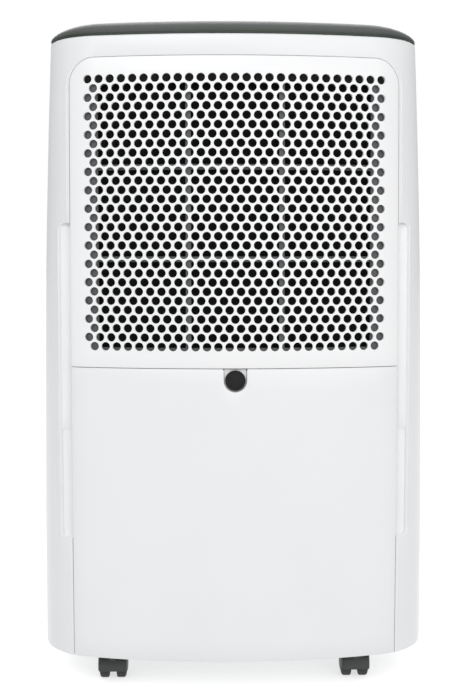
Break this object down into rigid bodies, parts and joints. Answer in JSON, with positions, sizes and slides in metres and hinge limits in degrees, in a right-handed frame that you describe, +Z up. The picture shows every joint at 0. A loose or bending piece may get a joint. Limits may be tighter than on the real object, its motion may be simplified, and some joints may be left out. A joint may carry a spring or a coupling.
{
  "type": "dehumidifier",
  "caption": "Upright room dehumidifier on swivelling castors, with a pull-off perforated intake grille, a slide-out water tank, a drain plug, a top outlet flap and a folding handle.",
  "frame": {"origin": "on the floor under the middle of the casing", "axes": "+Z up, -Y towards the intake grille and the water tank, +X to the right when the grille is faced"},
  "size_m": [0.3046, 0.22, 0.517],
  "materials": {
    "white_casing": "moulded gloss, satin fine",
    "white_grille": "moulded satin",
    "dark_lid": "moulded fine grain",
    "black_panel": "high gloss",
    "grey_plastic": "moulded fine grain",
    "filter_grey": "moulded satin",
    "filter_net": "woven net",
    "castor_grey": "moulded satin",
    "castor_tread": "moulded",
    "black_rubber": "moulded",
    "clear_tank": "translucent moulded",
    "black_paint": "enamelled",
    "copper": "drawn tube",
    "aluminium_fins": "folded fin stock",
    "galvanised_sheet": "galvanised",
    "board_green": "soldermask"
  },
  "bodies": {
    "housing": {"front_shell": "white_casing", "rear_shell": "white_casing", "base_tray": "grey_plastic", "top_cover": "dark_lid", "control_panel": "black_panel", "display_window": "black_panel", "outlet_grille": "dark_lid", "tank_switch": "black_panel", "drip_tray": "grey_plastic", "drain_nozzle": "grey_plastic", "evaporator_coil": "aluminium_fins", "condenser_coil": "aluminium_fins", "compressor_shell": "black_paint", "compressor_mount_front": "black_rubber", "compressor_mount_left": "black_rubber", "compressor_mount_right": "black_rubber", "accumulator": "black_paint", "suction_pipe": "copper", "discharge_pipe": "copper", "filter_drier": "copper", "capillary_tube": "copper", "fan_scroll": "grey_plastic", "fan_motor": "galvanised_sheet", "fan_deck": "galvanised_sheet", "partition_plate": "galvanised_sheet", "electronics_box": "grey_plastic", "power_board": "board_green", "run_capacitor": "galvanised_sheet", "control_board": "board_green", "humidity_sensor": "black_panel", "power_inlet": "black_rubber"},
    "outlet_louvre": {"outlet_louvre": "dark_lid"},
    "carry_handle": {"carry_handle": "dark_lid"},
    "rear_grille": {"rear_grille": "white_grille", "filter_frame": "filter_grey", "filter_mesh": "filter_net"},
    "water_tank": {"tank_front": "white_casing", "water_tank": "clear_tank", "tank_lid": "grey_plastic"},
    "tank_handle": {"tank_handle": "grey_plastic"},
    "tank_float": {"tank_float": "clear_tank"},
    "drain_plug": {"drain_plug": "black_rubber"},
    "fan_wheel": {"fan_wheel": "grey_plastic"},
    "power_button": {"power_button": "grey_plastic"},
    "mode_button": {"mode_button": "grey_plastic"},
    "fan_speed_button": {"fan_speed_button": "grey_plastic"},
    "timer_button": {"timer_button": "grey_plastic"},
    "humidity_button": {"humidity_button": "grey_plastic"},
    "castor_rear_left": {"castor_hood_rear_left": "castor_grey"},
    "castor_rear_left_wheel_a": {"castor_wheel_rear_left_a": "castor_tread"},
    "castor_rear_left_wheel_b": {"castor_wheel_rear_left_b": "castor_tread"},
    "castor_rear_right": {"castor_hood_rear_right": "castor_grey"},
    "castor_rear_right_wheel_a": {"castor_wheel_rear_right_a": "castor_tread"},
    "castor_rear_right_wheel_b": {"castor_wheel_rear_right_b": "castor_tread"},
    "castor_front_left": {"castor_hood_front_left": "castor_grey"},
    "castor_front_left_wheel_a": {"castor_wheel_front_left_a": "castor_tread"},
    "castor_front_left_wheel_b": {"castor_wheel_front_left_b": "castor_tread"},
    "castor_front_right": {"castor_hood_front_right": "castor_grey"},
    "castor_front_right_wheel_a": {"castor_wheel_front_right_a": "castor_tread"},
    "castor_front_right_wheel_b": {"castor_wheel_front_right_b": "castor_tread"}
  },
  "joints": [
    {"name": "tank_slide", "type": "slide", "parent": "housing", "child": "water_tank", "axis": [0, -1, 0], "range_m": [0, 0.16]},
    {"name": "tank_handle_hinge", "type": "hinge", "parent": "water_tank", "child": "tank_handle", "pos_m": [0, -0.0542, 0.2099], "axis": [1, 0, 0], "range_deg": [0, 90]},
    {"name": "tank_float_hinge", "type": "hinge", "parent": "water_tank", "child": "tank_float", "pos_m": [-0.088, -0.0302, 0.1934], "axis": [-1, 0, 0], "range_deg": [0, 16]},
    {"name": "grille_pull", "type": "slide", "parent": "housing", "child": "rear_grille", "axis": [0, -1, 0], "range_m": [0, 0.12]},
    {"name": "plug_pull", "type": "slide", "parent": "housing", "child": "drain_plug", "axis": [0, -1, 0], "range_m": [0, 0.035]},
    {"name": "fan_spin", "type": "hinge", "parent": "housing", "child": "fan_wheel", "pos_m": [0, 0.01, 0.3754], "axis": [0, 1, 0], "continuous": true},
    {"name": "louvre_hinge", "type": "hinge", "parent": "housing", "child": "outlet_louvre", "pos_m": [0, -0.0064, 0.5146], "axis": [1, 0, 0], "range_deg": [0, 75]},
    {"name": "carry_handle_hinge", "type": "hinge", "parent": "housing", "child": "carry_handle", "pos_m": [0, -0.0183, 0.5113], "axis": [-1, 0, 0], "range_deg": [0, 90]},
    {"name": "power_press", "type": "slide", "parent": "housing", "child": "power_button", "axis": [0, 0, -1], "range_m": [0, 0.001], "stiffness_N_per_m": 400, "springref_m": -0.0005},
    {"name": "mode_press", "type": "slide", "parent": "housing", "child": "mode_button", "axis": [0, 0, -1], "range_m": [0, 0.001], "stiffness_N_per_m": 400, "springref_m": -0.0005},
    {"name": "fan_speed_press", "type": "slide", "parent": "housing", "child": "fan_speed_button", "axis": [0, 0, -1], "range_m": [0, 0.001], "stiffness_N_per_m": 400, "springref_m": -0.0005},
    {"name": "timer_press", "type": "slide", "parent": "housing", "child": "timer_button", "axis": [0, 0, -1], "range_m": [0, 0.001], "stiffness_N_per_m": 400, "springref_m": -0.0005},
    {"name": "humidity_press", "type": "slide", "parent": "housing", "child": "humidity_button", "axis": [0, 0, -1], "range_m": [0, 0.001], "stiffness_N_per_m": 400, "springref_m": -0.0005},
    {"name": "castor_swivel_rear_left", "type": "hinge", "parent": "housing", "child": "castor_rear_left", "pos_m": [-0.0975, -0.067, 0.03], "axis": [0, 0, 1], "continuous": true},
    {"name": "castor_roll_rear_left_a", "type": "hinge", "parent": "castor_rear_left", "child": "castor_rear_left_wheel_a", "pos_m": [-0.0975, -0.06, 0.01177], "axis": [1, 0, 0], "continuous": true},
    {"name": "castor_roll_rear_left_b", "type": "hinge", "parent": "castor_rear_left", "child": "castor_rear_left_wheel_b", "pos_m": [-0.0975, -0.06, 0.01177], "axis": [1, 0, 0], "continuous": true},
    {"name": "castor_swivel_rear_right", "type": "hinge", "parent": "housing", "child": "castor_rear_right", "pos_m": [0.0975, -0.067, 0.03], "axis": [0, 0, 1], "continuous": true},
    {"name": "castor_roll_rear_right_a", "type": "hinge", "parent": "castor_rear_right", "child": "castor_rear_right_wheel_a", "pos_m": [0.0975, -0.06, 0.01177], "axis": [1, 0, 0], "continuous": true},
    {"name": "castor_roll_rear_right_b", "type": "hinge", "parent": "castor_rear_right", "child": "castor_rear_right_wheel_b", "pos_m": [0.0975, -0.06, 0.01177], "axis": [1, 0, 0], "continuous": true},
    {"name": "castor_swivel_front_left", "type": "hinge", "parent": "housing", "child": "castor_front_left", "pos_m": [-0.0975, 0.067, 0.03], "axis": [0, 0, 1], "continuous": true},
    {"name": "castor_roll_front_left_a", "type": "hinge", "parent": "castor_front_left", "child": "castor_front_left_wheel_a", "pos_m": [-0.0975, 0.074, 0.01177], "axis": [1, 0, 0], "continuous": true},
    {"name": "castor_roll_front_left_b", "type": "hinge", "parent": "castor_front_left", "child": "castor_front_left_wheel_b", "pos_m": [-0.0975, 0.074, 0.01177], "axis": [1, 0, 0], "continuous": true},
    {"name": "castor_swivel_front_right", "type": "hinge", "parent": "housing", "child": "castor_front_right", "pos_m": [0.0975, 0.067, 0.03], "axis": [0, 0, 1], "continuous": true},
    {"name": "castor_roll_front_right_a", "type": "hinge", "parent": "castor_front_right", "child": "castor_front_right_wheel_a", "pos_m": [0.0975, 0.074, 0.01177], "axis": [1, 0, 0], "continuous": true},
    {"name": "castor_roll_front_right_b", "type": "hinge", "parent": "castor_front_right", "child": "castor_front_right_wheel_b", "pos_m": [0.0975, 0.074, 0.01177], "axis": [1, 0, 0], "continuous": true}
  ]
}
